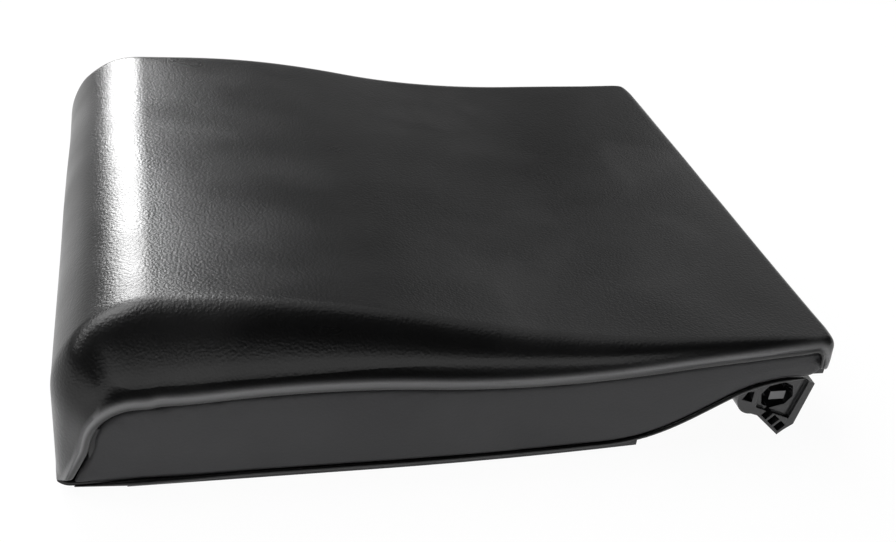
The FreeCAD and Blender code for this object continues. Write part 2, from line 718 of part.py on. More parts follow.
def make_cover_screws():
    screws = []
    for index, (x, y) in enumerate(screw_places()):
        head = post(f"screw_head_{index}", x, y, "0", "screw_head_radius", "screw_head")
        shank = post(f"screw_shank_{index}", x, y, "screw_head", "screw_radius", "screw_length - screw_head")
        screws.append(fuse(f"screw_{index}", [head, shank]))
    return group("cover_screws", screws)


def group(label, solids):
    """Keeps like fasteners in one node as separate solids."""
    result = doc.addObject("Part::Compound", label)
    result.Links = solids
    result.Label = label
    return result


parts = [make_top_cover(), make_core_block(), make_foam_pad(), make_bottom_cover(), make_hinge_pan(),
         make_pan_bolts(), make_cover_screws()]
for name, side in SIDES.items():
    parts += [
        make_side_panel(name, side),
        make_hem_strip(name, side),
        make_hinge_ear(name, side),
        make_pivot_pin(name, side),
        ring(f"pivot_bush_{name}", BUSH_RADIUS, "pin_radius + running_clearance", BRACKET_BACK, "bush_length", side),
        ring(f"friction_washer_{name}", "washer_radius", "pin_radius", EAR_FACE, "washer", side),
        ring(f"retaining_clip_{name}", "clip_radius", "pin_radius", CLIP_START, "clip", side),
        make_hinge_bracket(name, side),
        make_stop_pad(name, side),
    ]
doc.recompute()

for item in doc.Objects:
    if {"Invalid", "Error"} & set(item.State):
        raise RuntimeError(f"{item.Label} failed: {item.State}")
os.makedirs("parts", exist_ok=True)
for part in parts:
    if part.Shape.isNull() or not part.Shape.isValid():
        raise RuntimeError(f"{part.Label} has no valid shape")
    print(part.Label, len(part.Shape.Solids), round(part.Shape.Volume / 1000, 2), part.Shape.BoundBox)
for part in parts:
    part.Shape.exportStep(f"parts/{part.Label}.step")
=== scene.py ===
import math

import bmesh
import bpy
from mathutils import Matrix, Vector, noise


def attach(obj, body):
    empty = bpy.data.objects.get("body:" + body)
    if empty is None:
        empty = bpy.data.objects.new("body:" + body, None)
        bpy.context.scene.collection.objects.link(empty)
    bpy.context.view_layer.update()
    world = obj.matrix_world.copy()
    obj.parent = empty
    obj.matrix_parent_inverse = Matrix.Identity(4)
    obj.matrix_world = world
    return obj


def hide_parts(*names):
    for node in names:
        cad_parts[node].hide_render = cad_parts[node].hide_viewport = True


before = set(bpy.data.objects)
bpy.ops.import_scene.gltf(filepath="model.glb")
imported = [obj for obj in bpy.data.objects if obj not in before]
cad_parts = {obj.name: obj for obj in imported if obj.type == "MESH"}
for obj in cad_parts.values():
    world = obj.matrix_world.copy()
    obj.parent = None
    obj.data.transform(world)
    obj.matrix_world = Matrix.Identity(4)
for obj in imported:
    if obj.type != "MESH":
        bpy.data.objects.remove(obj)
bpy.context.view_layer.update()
MM = 0.001

# Sizes of the part in millimetres, the same as in its source.
NOSE = -180.0
REAR = 180.0
HALF = 149.0
CREST = 85.5
FLAT = 62.2
CREST_X = -132.0
FLAT_X = 97.0
NOSE_RADIUS = 43.0
REAR_RADIUS = 6.5
TOE_RADIUS = 7.5
HEM_LOW = 0.2
UNDER = 38.5
UNDER_HEM = 37.1
BEAD = 2.8
COVER_WALL = 2.6
PANEL_CORNER = 20.0
SHOULDER = 13.0
RISE_START = -42.0
RISE_END = 92.5
RISE = 4.2
RAMP_ANGLE = 31.0
RAMP_RADIUS = 66.5
RAMP_TOP = 16.6

# The roll of the top's side edge, in millimetres, from the toe over the nose and crest to the rear end.
ROLL_TOE = 4.6
ROLL_CHIN = 5.2
ROLL_NOSE = 9.0
ROLL_SHOULDER = 26.0
ROLL_CREST = 39.4
ROLL_MIDDLE = 25.7
ROLL_FLAT = 10.6
ROLL_REAR = 3.7
ROLL_HEEL = 2.4
ROLL_END = 2.0
MIDDLE_X = -17.5

# The leather's own sizes in millimetres, which only the looks use.
GROOVE = 1.0
LIP = 5.2
LIP_DIP = 1.0
REAR_CORNER = 16.0
REAR_ROUNDING = 5.0
NOSE_CORNER = 20.0
HEEL_RADIUS = 6.0
HEEL_LIFT = 8.0
SEAM_CORNER = 5.0
PANEL_FACE = 145.9
PANEL_BACK = 142.9
PANEL_TUCK = 2.6
PANEL_PUFF = 0.9
PIPING_FACE = 145.7
PIPING_RADIUS = 1.2
PIPING_SWELL = 0.5

# How the cross section is drawn: steps of the roll, of the drop below it and of the lip.
MIDDLE_SHARES = (0, 0.1, 0.2, 0.3, 0.4, 0.5, 0.6, 0.68, 0.76, 0.83, 0.89, 0.94, 0.98)
ROLL_STEPS = 17
DROP_STEPS = 16
LIP_STEPS = 14
LIP_START = 58.0
LIP_SWEEP = 153.0
UPRIGHT_SLANT = 4.0
ROLLED_SLANT = 22.0
# Place from the seam and width of the painted highlight along the top of the lip, in millimetres.
LIP_HIGHLIGHT_HEIGHT = 3.9
LIP_HIGHLIGHT_WIDTH = 1.5


def arc(centre, radius, start, end, steps):
    """Points of an arc in the long section, by angles in degrees."""
    points = []
    for index in range(steps + 1):
        angle = math.radians(start + (end - start) * index / steps)
        points.append((centre[0] + radius * math.cos(angle), centre[1] + radius * math.sin(angle)))
    return points


def line(start, end, steps):
    """Evenly spaced points of a straight line."""
    return [(start[0] + (end[0] - start[0]) * i / steps, start[1] + (end[1] - start[1]) * i / steps)
            for i in range(steps + 1)]


def swell(x):
    """Height of the top between the crest and the flat: two equal arcs that meet in the middle."""
    span = FLAT_X - CREST_X
    fall = CREST - FLAT
    radius = (span ** 2 + fall ** 2) / (4 * fall)
    if x < CREST_X + span / 2:
        return CREST - radius + math.sqrt(radius ** 2 - (x - CREST_X) ** 2)
    return FLAT + radius - math.sqrt(radius ** 2 - (FLAT_X - x) ** 2)


def long_section():
    """The wrap's line from under the nose, over the top, to under the rear, with the roll at each point."""
    toe = (NOSE + TOE_RADIUS, HEM_LOW + TOE_RADIUS)
    bow = (NOSE + NOSE_RADIUS, CREST - NOSE_RADIUS)
    heel = (REAR - REAR_RADIUS, FLAT - REAR_RADIUS)
    low_heel = (REAR - HEEL_RADIUS, UNDER_HEM + HEEL_LIFT)
    under = low_heel[1] - HEEL_RADIUS
    runs = [
        (line((NOSE + 30, HEM_LOW), (toe[0], HEM_LOW), 12), ROLL_TOE, ROLL_TOE),
        (arc(toe, TOE_RADIUS, 270, 180, 10), ROLL_TOE, ROLL_CHIN),
        (line((NOSE, toe[1]), (NOSE, bow[1]), 22), ROLL_CHIN, ROLL_NOSE),
        (arc(bow, NOSE_RADIUS, 180, 135, 24), ROLL_NOSE, ROLL_SHOULDER),
        (arc(bow, NOSE_RADIUS, 135, 90, 24), ROLL_SHOULDER, ROLL_CREST),
        ([(x, swell(max(x, CREST_X))) for x, _ in line((bow[0], 0), (CREST_X, 0), 4)],
         ROLL_CREST, ROLL_CREST),
        ([(x, swell(x)) for x, _ in line((CREST_X, 0), (MIDDLE_X, 0), 56)], ROLL_CREST, ROLL_MIDDLE),
        ([(x, swell(x)) for x, _ in line((MIDDLE_X, 0), (FLAT_X, 0), 56)], ROLL_MIDDLE, ROLL_FLAT),
        (line((FLAT_X, FLAT), (heel[0], FLAT), 38), ROLL_FLAT, ROLL_REAR),
        (arc(heel, REAR_RADIUS, 90, 0, 10), ROLL_REAR, ROLL_HEEL),
        (line((REAR, heel[1]), (REAR, low_heel[1]), 6), ROLL_HEEL, ROLL_END),
        (arc(low_heel, HEEL_RADIUS, 0, -90, 12), ROLL_END, ROLL_END),
        (line((low_heel[0], under), (REAR - HEEL_LIFT, under), 2), ROLL_END, ROLL_END),
    ]
    points = []
    for run, first, last in runs:
        for index, place in enumerate(run):
            if points and math.dist(points[-1][:2], place) < 1e-4:
                continue
            share = index / max(len(run) - 1, 1)
            points.append((place[0], place[1], first + (last - first) * share))
    rolls = [point[2] for point in points]
    for _ in range(60):
        rolls = [rolls[0]] + [(rolls[i - 1] + 2 * rolls[i] + rolls[i + 1]) / 4
                              for i in range(1, len(rolls) - 1)] + [rolls[-1]]
    return [(x, z, roll) for (x, z, _), roll in zip(points, rolls)]


def section_normals(points):
    """Outward normals of the long section."""
    normals = []
    for index in range(len(points)):
        before = points[max(index - 1, 0)]
        after = points[min(index + 1, len(points) - 1)]
        run = Vector((after[0] - before[0], after[1] - before[1])).normalized()
        normals.append(Vector((-run.y, run.x)))
    return normals


def along(points, share):
    """The place at a share of the length of a line of points."""
    steps = [math.dist(first, second) for first, second in zip(points, points[1:])]
    left = share * sum(steps)
    for (first, second), step in zip(zip(points, points[1:]), steps):
        if left <= step:
            part = left / max(step, 1e-9)
            return (first[0] + (second[0] - first[0]) * part, first[1] + (second[1] - first[1]) * part)
        left -= step
    return points[-1]


def ease(share):
    """A smooth step from 0 to 1."""
    share = min(max(share, 0.0), 1.0)
    return share * share * (3 - 2 * share)


def seam_places(points, normals):
    """The place on the seam round the side panel that belongs to each point of the long section."""
    front = NOSE + ROLL_TOE + BEAD
    rear = REAR - ROLL_END - BEAD
    shoulder = NOSE + SHOULDER + BEAD
    crest = CREST - ROLL_CREST - BEAD
    end = FLAT - ROLL_REAR - BEAD
    bow_x = NOSE + NOSE_RADIUS
    corner = arc((shoulder + PANEL_CORNER, crest - PANEL_CORNER), PANEL_CORNER, 180, 90, 24)
    rising = line((front + 0.6, TOE_RADIUS), (shoulder, crest - PANEL_CORNER), 12) + corner[1:9]
    turning = corner[8:] + [(bow_x, crest)]
    ending = arc((rear - SEAM_CORNER, end - SEAM_CORNER), SEAM_CORNER, 90, 0, 10)
    ending.append((rear, UNDER + HEEL_LIFT))
    heel_x = REAR - REAR_RADIUS
    places = []
    for (x, z, roll), normal in zip(points, normals):
        if x < bow_x and normal.y < -0.01:
            places.append((front + 0.6 + max(x - NOSE - TOE_RADIUS, 0) * 0.98, HEM_LOW + TOE_RADIUS))
        elif x < bow_x and z <= CREST - NOSE_RADIUS:
            places.append(along(rising, (z - TOE_RADIUS) / (CREST - NOSE_RADIUS - TOE_RADIUS)))
        elif x < bow_x:
            places.append(along(turning, math.degrees(math.atan2(z - CREST + NOSE_RADIUS, bow_x - x)) / 90))
        elif x < heel_x and z > UNDER + 12:
            places.append((min(x, rear - SEAM_CORNER), z - roll - BEAD))
        elif normal.y > -0.01:
            turned = math.degrees(math.acos(min(max(normal.y, 0.0), 1.0))) / 90
            places.append(along(ending, 0.75 * turned + 0.25 * ease((FLAT - REAR_RADIUS - z) / 12)))
        else:
            places.append((min(x - 3, rear), UNDER + HEEL_LIFT))
    for _ in range(8):
        inner = [tuple((before[k] + 2 * here[k] + after[k]) / 4 for k in (0, 1))
                 for before, here, after in zip(places, places[1:], places[2:])]
        places = [places[0]] + inner + [places[-1]]
    return places


def cross_profile(roll, depth, front):
    """Half a cross section from the middle outwards, as (distance from the middle plane, depth)."""
    lip = LIP * min(1.0, 0.45 + depth / 40)
    fall = depth - lip * 0.9
    slant = math.radians(UPRIGHT_SLANT + ROLLED_SLANT * ease(roll / 30) * (1 - front))
    full = fall / (1 - math.sin(slant))
    across = min(3.0 + 0.58 * roll, full)
    bow = across + (full - across) * max(front, 0.8 * ease((roll - 14) / 20))
    across += (NOSE_CORNER - across) * front
    drop = fall - bow * (1 - math.sin(slant))
    wide = across * math.cos(slant) + drop * math.tan(slant)
    out = [((HALF - wide) * share, 0.0) for share in MIDDLE_SHARES]
    for index in range(ROLL_STEPS + DROP_STEPS + 1):
        angle = (math.pi / 2 - slant) * min(index, ROLL_STEPS) / ROLL_STEPS
        further = drop * max(index - ROLL_STEPS, 0) / DROP_STEPS
        sink = bow * (1 - math.cos(angle)) + further
        reach = HALF - wide + across * math.sin(angle) + further * math.tan(slant)
        above = depth - sink
        reach -= min(1.0, depth / 16) * LIP_DIP * math.exp(-((above - 1.9 * lip) / (0.75 * lip)) ** 2)
        out.append((reach, sink))
    for index in range(1, LIP_STEPS + 1):
        angle = math.radians(LIP_START - LIP_SWEEP * index / LIP_STEPS)
        reach = HALF - lip * 0.3 + lip * 0.4 * math.cos(angle)
        out.append((reach, depth - lip * 0.45 * (1 + math.sin(angle))))
    out.append((HALF - lip, depth + 0.3))
    out.append((HALF - 8.0, depth + 0.3))
    return out


def pinch(x, y, z):
    """Soft unevenness of leather over foam, in millimetres along the normal."""
    broad = noise.noise(Vector((x / 95, y / 95, z / 95))) * 0.45
    fine = noise.noise(Vector((x / 34 + 7, y / 34, z / 34))) * 0.16
    return broad + fine


def mesh_object(name, vertices, faces):
    """A smooth object from vertices in millimetres, with its faces turned outwards."""
    mesh = bpy.data.meshes.new(name)
    mesh.from_pydata([(x * MM, y * MM, z * MM) for x, y, z in vertices], [], faces)
    mesh.update()
    work = bmesh.new()
    work.from_mesh(mesh)
    bmesh.ops.recalc_face_normals(work, faces=work.faces)
    work.to_mesh(mesh)
    work.free()
    for face in mesh.polygons:
        face.use_smooth = True
    piece = bpy.data.objects.new(name, mesh)
    bpy.context.scene.collection.objects.link(piece)
    return piece


def make_wrap():
    """The leather wrap over the foam: one closed crowned form with a rolled lip along both seams, with a
    painted highlight along the lip and a painted sheen on the lower nose front.
    """
    points = long_section()
    normals = section_normals(points)
    vertices = []
    faces = []
    worn = []
    rows = len(points)
    for (x, z, roll), normal, seam in zip(points, normals, seam_places(points, normals)):
        tuck = ease(-normal.y * 1.6)
        inward = Vector((seam[0] - x, seam[1] - z))
        depth = inward.length * (1 - tuck) + 2.0 * tuck
        inward = (inward.normalized() * (1 - tuck) - normal * tuck).normalized()
        front = ease((-normal.x - 0.55) / 0.4) * (1 - tuck)
        half = [(y - 5.6 * tuck * ease(y / HALF), sink) for y, sink in cross_profile(roll, depth, front)]
        ring = [(-y, sink) for y, sink in reversed(half)] + half[1:]
        for y, sink in ring:
            place = Vector((x, z)) + inward * sink
            fade = min(max((HALF - abs(y)) / 25, 0.0), 1.0)
            place += normal * (pinch(place.x, y, place.y) * fade - 0.35 * fade)
            bent = min(max((abs(y) - HALF + REAR_CORNER) / REAR_CORNER, 0.0), 1.0)
            place.x -= REAR_ROUNDING * (1 - math.sqrt(1 - bent * bent)) * ease((place.x - REAR + 24) / 24)
            vertices.append((place.x, y, place.y))
            # Painted highlight: a light band along the top of the lip, plus a painted sheen on the lower
            # front of the nose, which the leather material mixes toward light grey.
            near = depth - sink
            lip_highlight = math.exp(-((near - LIP_HIGHLIGHT_HEIGHT) / LIP_HIGHLIGHT_WIDTH) ** 2)
            lip_highlight *= ease(depth / 10) * (1 - tuck)
            worn.append(max(lip_highlight, 0.3 * front * ease((60 - z) / 25)))
    count = len(vertices) // rows
    for row in range(rows - 1):
        for column in range(count):
            after = (column + 1) % count
            faces.append((row * count + column, row * count + after,
                          (row + 1) * count + after, (row + 1) * count + column))
    faces.append(tuple(range(count)))
    faces.append(tuple(range((rows - 1) * count, rows * count)))
    piece = mesh_object("leather_wrap", vertices, faces)
    edge = piece.data.attributes.new("worn", "FLOAT", "POINT")
    edge.data.foreach_set("value", worn)
    return piece


wrap = make_wrap()


def soften(points, first_x, last_x):
    """Draws the points between two places along a line as one smooth bend."""
    first = next(spot for spot, point in enumerate(points) if point[0] >= first_x)
    last = next(spot for spot, point in enumerate(points) if point[0] >= last_x)
    start, end = Vector(points[first]), Vector(points[last])
    rise_in = (start - Vector(points[first - 1])).normalized()
    rise_out = (Vector(points[last + 1]) - end).normalized()
    reach = (end - start).length / 2.6
    bend = []
    for index in range(41):
        t = index / 40
        place = ((1 - t) ** 3 * start + 3 * (1 - t) ** 2 * t * (start + rise_in * reach)
                 + 3 * (1 - t) * t ** 2 * (end - rise_out * reach) + t ** 3 * end)
        bend.append((place.x, place.y))
    return points[:first] + bend + points[last + 1:]


def panel_outline():
    """The side panel's outline as dense points, from the nose round by the lower edge."""
    front = NOSE + ROLL_TOE + BEAD + GROOVE
    rear = REAR - BEAD - GROOVE
    shoulder = NOSE + SHOULDER + BEAD + GROOVE
    section = [p for p in long_section() if p[0] > CREST_X and p[1] > 55]
    rim = [(front, COVER_WALL)]
    rim += [(x, COVER_WALL) for x, _ in line((front, 0), (RISE_START, 0), 60)][1:]
    rise_radius = ((RISE_END - RISE_START) ** 2 + RISE ** 2) / (2 * RISE)
    rim += [(x, COVER_WALL + rise_radius - math.sqrt(rise_radius ** 2 - (x - RISE_START) ** 2))
            for x, _ in line((RISE_START, 0), (RISE_END, 0), 60)][1:]
    ramp = math.radians(RAMP_ANGLE)
    top_x = REAR - RAMP_TOP
    bend_x = top_x - RAMP_RADIUS * math.sin(ramp)
    bend_z = UNDER - RAMP_RADIUS * (1 - math.cos(ramp))
    rim += line((RISE_END, COVER_WALL + RISE), (bend_x, bend_z), 20)[1:]
    rim = soften(rim, 66.0, 116.0)
    rim += arc((top_x, UNDER - RAMP_RADIUS), RAMP_RADIUS, 90 + RAMP_ANGLE, 90, 24)[1:]
    rim += line((top_x, UNDER), (rear - HEEL_LIFT, UNDER), 3)[1:]
    rim += arc((rear - HEEL_LIFT, UNDER + HEEL_LIFT), HEEL_LIFT, -90, 0, 10)[1:]
    end = FLAT - ROLL_REAR - BEAD - GROOVE
    rim += line((rear, UNDER + HEEL_LIFT), (rear, end - SEAM_CORNER), 2)[1:]
    rim += arc((rear - SEAM_CORNER, end - SEAM_CORNER), SEAM_CORNER, 0, 90, 8)[1:]
    rim += [(x, z - roll - BEAD - GROOVE) for x, z, roll in reversed(section)
            if x < rear - SEAM_CORNER - 0.1]
    crest = CREST - ROLL_CREST - BEAD - GROOVE
    rim += line((CREST_X, crest), (shoulder + PANEL_CORNER, crest), 8)[1:]
    rim += arc((shoulder + PANEL_CORNER, crest - PANEL_CORNER), PANEL_CORNER, 90, 180, 16)[1:]
    rim += line((shoulder, crest - PANEL_CORNER), (front, COVER_WALL), 10)[1:-1]
    return rim


def edge_gap(x, z, outline):
    """Distance from a place to the nearest point of an outline."""
    best = 1e9
    for index in range(len(outline)):
        (xa, za), (xb, zb) = outline[index - 1], outline[index]
        dx, dz = xb - xa, zb - za
        share = ((x - xa) * dx + (z - za) * dz) / max(dx * dx + dz * dz, 1e-9)
        share = min(max(share, 0.0), 1.0)
        best = min(best, (x - xa - share * dx) ** 2 + (z - za - share * dz) ** 2)
    return math.sqrt(best)


def span_at(x, outline):
    """Lowest and highest point of an outline at a place along it."""
    heights = []
    for index in range(len(outline)):
        (xa, za), (xb, zb) = outline[index - 1], outline[index]
        if (xa - x) * (xb - x) <= 0 and abs(xb - xa) > 1e-9:
            heights.append(za + (zb - za) * (x - xa) / (xb - xa))
    return min(heights), max(heights)


def make_side_panel(name, side):
    """A leather side panel, puffed a little over its padding and tucked into the groove all round."""
    outline = panel_outline()
    low_x = min(x for x, _ in outline) + 0.01
    high_x = max(x for x, _ in outline) - 0.01
    columns = 230
    rows = 30
    vertices = []
    faces = []
    for column in range(columns + 1):
        share = column / columns
        share -= 0.055 * math.sin(2 * math.pi * share)
        x = low_x + (high_x - low_x) * share
        low, high = span_at(x, outline)
        for row in range(rows + 1):
            up = (1 - math.cos(math.pi * row / rows)) / 2
            z = low + (high - low) * up
            gap = edge_gap(x, z, outline)
            turn = max(0.0, 1 - gap / 3.2)
            y = PANEL_FACE - PANEL_TUCK * (1 - math.sqrt(max(1 - turn * turn, 0.0)))
            y += PANEL_PUFF * (1 - math.exp(-gap / 7)) + 0.25 * noise.noise(Vector((x / 40, z / 25, 3)))
            near_seam = math.exp(-((high - z - 4) / 3.5) ** 2) * math.exp(-((x + 75) / 80) ** 2)
            y += 0.6 * near_seam * noise.noise(Vector((x / 2.6, z / 6, 9)))
            vertices.append((x, side * y, z))
    wide = rows + 1
    for column in range(columns):
        for row in range(rows):
            first = column * wide + row
            faces.append((first, first + wide, first + wide + 1, first + 1))
    back = len(vertices)
    rim = [column * wide for column in range(columns + 1)]
    rim += [columns * wide + row for row in range(1, rows + 1)]
    rim += [column * wide + rows for column in range(columns - 1, -1, -1)]
    rim += list(range(rows - 1, 0, -1))
    vertices += [(vertices[spot][0], side * PANEL_BACK, vertices[spot][2]) for spot in rim]
    for index in range(len(rim)):
        after = (index + 1) % len(rim)
        faces.append((rim[index], rim[after], back + after, back + index))
    faces.append(tuple(back + index for index in range(len(rim))))
    return mesh_object(name, vertices, faces)


def make_piping(name, side):
    """The thin leather roll along the lower edge of a side panel, from the nose to the rear corner."""
    outline = panel_outline()
    start = min(range(len(outline)), key=lambda spot: outline[spot][0] + outline[spot][1])
    lower = []
    for index in range(len(outline)):
        x, z = outline[(start + index) % len(outline)]
        lower.append((x, z))
        if x > REAR - 13.0:
            break
    vertices = []
    faces = []
    round_steps = 10
    for index, (x, z) in enumerate(lower):
        before = Vector(lower[max(index - 1, 0)])
        after = Vector(lower[min(index + 1, len(lower) - 1)])
        run = (after - before).normalized()
        taper = min(1.0, 0.2 + index / 16, 0.3 + (len(lower) - 1 - index) / 8)
        size = (PIPING_RADIUS + PIPING_SWELL * ease((-110 - x) / 40)) * taper
        for step in range(round_steps):
            angle = 2 * math.pi * step / round_steps
            out = size * math.cos(angle)
            down = size * math.sin(angle)
            low = down + 0.3 + 0.7 * ease((-90 - x) / 40)
            vertices.append((x + run.y * low, side * (PIPING_FACE + out), z - run.x * low))
    for index in range(len(lower) - 1):
        for step in range(round_steps):
            after = (step + 1) % round_steps
            first = index * round_steps
            second = first + round_steps
            faces.append((first + step, first + after, second + after, second + step))
    faces.append(tuple(range(round_steps)))
    faces.append(tuple(range(len(vertices) - round_steps, len(vertices))))
    return mesh_object(name, vertices, faces)


SIDES = {"left": -1, "right": 1}
pipings = {name: make_piping(f"edge_roll_{name}", side) for name, side in SIDES.items()}
panels = {name: make_side_panel(f"leather_side_{name}", side) for name, side in SIDES.items()}


def nodes_of(material):
    """The empty node tree of a material, with a shader and the object coordinates."""
    material.use_nodes = True
    tree = material.node_tree
    tree.nodes.clear()
    out = tree.nodes.new("ShaderNodeOutputMaterial")
    shader = tree.nodes.new("ShaderNodeBsdfPrincipled")
    tree.links.new(shader.outputs[0], out.inputs[0])
    where = tree.nodes.new("ShaderNodeTexCoord")
    return tree, shader, where


def noise_node(tree, where, scale, detail, stretch=None):
    """A noise texture in object coordinates, stretched along the axes where asked."""
    node = tree.nodes.new("ShaderNodeTexNoise")
    node.inputs["Scale"].default_value = scale
    node.inputs["Detail"].default_value = detail
    if stretch:
        mapping = tree.nodes.new("ShaderNodeMapping")
        mapping.inputs["Scale"].default_value = stretch
        tree.links.new(where.outputs["Object"], mapping.inputs["Vector"])
        tree.links.new(mapping.outputs[0], node.inputs["Vector"])
    else:
        tree.links.new(where.outputs["Object"], node.inputs["Vector"])
    return node


def ramp_node(tree, source, stops):
    """A colour ramp with stops of (place, grey or colour)."""
    node = tree.nodes.new("ShaderNodeValToRGB")
    elements = node.color_ramp.elements
    while len(elements) < len(stops):
        elements.new(0.5)
    for element, (place, colour) in zip(elements, stops):
        element.position = place
        element.color = (*colour, 1) if isinstance(colour, tuple) else (colour, colour, colour, 1)
    tree.links.new(source, node.inputs[0])
    return node


def bump_node(tree, height, strength, distance, normal=None):
    """A bump from a height, over another normal where one is given."""
    node = tree.nodes.new("ShaderNodeBump")
    node.inputs["Strength"].default_value = strength
    node.inputs["Distance"].default_value = distance
    tree.links.new(height, node.inputs["Height"])
    if normal:
        tree.links.new(normal, node.inputs["Normal"])
    return node


def leather(name, dark, light, film, rough_low, rough_high, grain, depth, specular):
    """Grained leather: pebbled cells, finer pores, soft patches of wear in colour and gloss, and a painted
    highlight mixed toward light grey where the mesh marks it.
    """
    material = bpy.data.materials.new(name)
    tree, shader, where = nodes_of(material)
    cells = tree.nodes.new("ShaderNodeTexVoronoi")
    cells.feature = "SMOOTH_F1"
    cells.inputs["Scale"].default_value = grain
    cells.inputs["Smoothness"].default_value = 0.6
    warp = noise_node(tree, where, grain * 0.6, 2.0)
    shift = tree.nodes.new("ShaderNodeVectorMath")
    shift.operation = "MULTIPLY_ADD"
    shift.inputs[1].default_value = (0.0007, 0.0007, 0.0007)
    tree.links.new(warp.outputs["Color"], shift.inputs[0])
    tree.links.new(where.outputs["Object"], shift.inputs[2])
    tree.links.new(shift.outputs[0], cells.inputs["Vector"])
    pores = noise_node(tree, where, grain * 2.6, 3.0)
    fine = bump_node(tree, pores.outputs["Fac"], 0.25, depth * 0.5)
    pebble = bump_node(tree, cells.outputs["Distance"], 0.4, depth, fine.outputs[0])
    pebble.invert = True
    tree.links.new(pebble.outputs[0], shader.inputs["Normal"])
    patches = noise_node(tree, where, 13.0, 4.0)
    patches.inputs["Distortion"].default_value = 0.4
    tone = ramp_node(tree, patches.outputs["Fac"], [(0.36, dark), (0.55, light), (0.78, film)])
    # Painted highlight: where the mesh marks it, the colour mixes toward light grey.
    edge = tree.nodes.new("ShaderNodeAttribute")
    edge.attribute_name = "worn"
    highlight_mix = tree.nodes.new("ShaderNodeMix")
    highlight_mix.data_type = "RGBA"
    highlight_mix.inputs[7].default_value = (0.23, 0.23, 0.234, 1)
    tree.links.new(edge.outputs["Fac"], highlight_mix.inputs[0])
    tree.links.new(tone.outputs[0], highlight_mix.inputs[6])
    tree.links.new(highlight_mix.outputs[2], shader.inputs["Base Color"])
    wear = noise_node(tree, where, 16.0, 2.0, (1.0, 1.6, 1.0))
    gloss = ramp_node(tree, wear.outputs["Fac"], [(0.25, rough_low), (0.8, rough_high)])
    tree.links.new(gloss.outputs[0], shader.inputs["Roughness"])
    shader.inputs["Specular IOR Level"].default_value = specular
    return material


def moulded(name, dark, light, rough, scale, depth, metallic=0.0, specular=0.5):
    """Moulded plastic, rubber or metal: faint flow marks, a fine texture and slightly softened edges."""
    material = bpy.data.materials.new(name)
    tree, shader, where = nodes_of(material)
    texture = noise_node(tree, where, scale, 3.0)
    edge = tree.nodes.new("ShaderNodeBevel")
    edge.samples = 4
    edge.inputs["Radius"].default_value = 0.0005
    bump = bump_node(tree, texture.outputs["Fac"], 0.3, depth, edge.outputs[0])
    tree.links.new(bump.outputs[0], shader.inputs["Normal"])
    flow = noise_node(tree, where, 60.0, 5.0)
    tone = ramp_node(tree, flow.outputs["Fac"], [(0.35, dark), (0.7, light)])
    tree.links.new(tone.outputs[0], shader.inputs["Base Color"])
    gloss = ramp_node(tree, flow.outputs["Fac"], [(0.3, rough * 0.85), (0.75, rough * 1.15)])
    tree.links.new(gloss.outputs[0], shader.inputs["Roughness"])
    shader.inputs["Metallic"].default_value = metallic
    shader.inputs["Specular IOR Level"].default_value = specular
    return material


LOOKS = {
    "leather_top": leather("leather_top", (0.0025, 0.0025, 0.0026), (0.004, 0.004, 0.0042),
                           (0.013, 0.0128, 0.013), 0.26, 0.39, 800.0, 0.00024, 0.42),
    "leather_side": leather("leather_side", (0.034, 0.034, 0.0365), (0.042, 0.042, 0.0445),
                            (0.05, 0.05, 0.052), 0.5, 0.58, 800.0, 0.0002, 0.4),
    "foam": moulded("foam", (0.32, 0.3, 0.24), (0.4, 0.37, 0.3), 0.9, 900.0, 0.0004, specular=0.1),
    "core": moulded("core", (0.02, 0.02, 0.021), (0.028, 0.028, 0.03), 0.55, 700.0, 0.0001),
    "cover_plastic": moulded("cover_plastic", (0.03, 0.03, 0.032), (0.042, 0.042, 0.044),
                             0.5, 1400.0, 0.00012),
    "bracket_plastic": moulded("bracket_plastic", (0.034, 0.034, 0.036), (0.046, 0.046, 0.048),
                               0.26, 600.0, 0.00004),
    "black_steel": moulded("black_steel", (0.02, 0.02, 0.021), (0.03, 0.03, 0.031), 0.42, 900.0, 0.00005),
    "steel": moulded("steel", (0.13, 0.13, 0.133), (0.18, 0.18, 0.184), 0.45, 900.0, 0.00003, metallic=1.0),
    "bush_plastic": moulded("bush_plastic", (0.3, 0.29, 0.26), (0.36, 0.35, 0.32), 0.45, 700.0, 0.00003),
    "rubber": moulded("rubber", (0.012, 0.012, 0.012), (0.018, 0.018, 0.018),
                      0.75, 900.0, 0.0001, specular=0.3),
}


def paint(piece, look):
    """Gives a piece one material alone."""
    piece.data.materials.clear()
    piece.data.materials.append(LOOKS[look])


NODE_LOOKS = {
    "core_block": "core", "foam_pad": "foam", "bottom_cover": "cover_plastic", "hinge_pan": "black_steel",
    "pan_bolts": "steel", "cover_screws": "black_steel", "hem_strip": "leather_side",
    "hinge_ear": "black_steel", "pivot_pin": "steel", "pivot_bush": "bush_plastic",
    "friction_washer": "bush_plastic",
    "retaining_clip": "steel", "hinge_bracket": "bracket_plastic", "stop_pad": "rubber",
}
for node_name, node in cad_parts.items():
    stem = node_name.replace("_left", "").replace("_right", "")
    if stem in NODE_LOOKS:
        paint(node, NODE_LOOKS[stem])

paint(wrap, "leather_top")
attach(wrap, "armrest")
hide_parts("top_cover", "foam_pad")
for name, panel in panels.items():
    paint(panel, "leather_side")
    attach(panel, "armrest")
    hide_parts(f"side_panel_{name}")
for name, piping in pipings.items():
    paint(piping, "leather_top")
    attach(piping, "armrest")
    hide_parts(f"hem_strip_{name}")


# The floor in metres, and how much of it the camera and reflections see as plain white.
FLOOR_REACH = 80.0
FLOOR_DROP = 0.0005
WHITE_SHARE = 0.96


